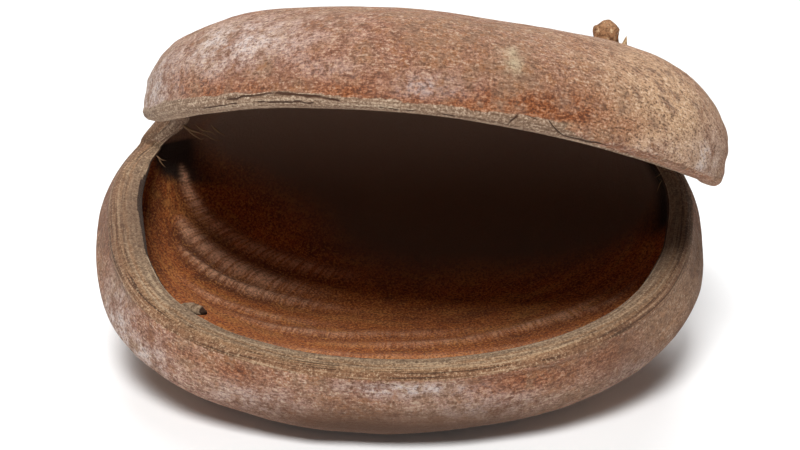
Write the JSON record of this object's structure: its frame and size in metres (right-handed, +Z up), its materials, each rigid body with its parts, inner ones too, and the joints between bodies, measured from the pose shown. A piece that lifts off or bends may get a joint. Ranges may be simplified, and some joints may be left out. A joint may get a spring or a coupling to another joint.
{
  "type": "indian almond pod",
  "caption": "Dried woody seed pod, split open along its front seam like a purse, resting on its lower half with a short broken stalk on the upper half.",
  "frame": {"origin": "middle of the small flat spot that the pod rests on", "axes": "+X along the mouth's long way, to the right seen from the front; +Y from the mouth to the closed back; +Z up"},
  "size_m": [0.1056, 0.0751, 0.0694],
  "materials": {
    "pod": "matt, velvety, weathered",
    "stalk_stub": "matt, broken"
  },
  "bodies": {
    "root": {"pod": "pod", "stalk_stub": "stalk_stub"}
  },
  "joints": []
}
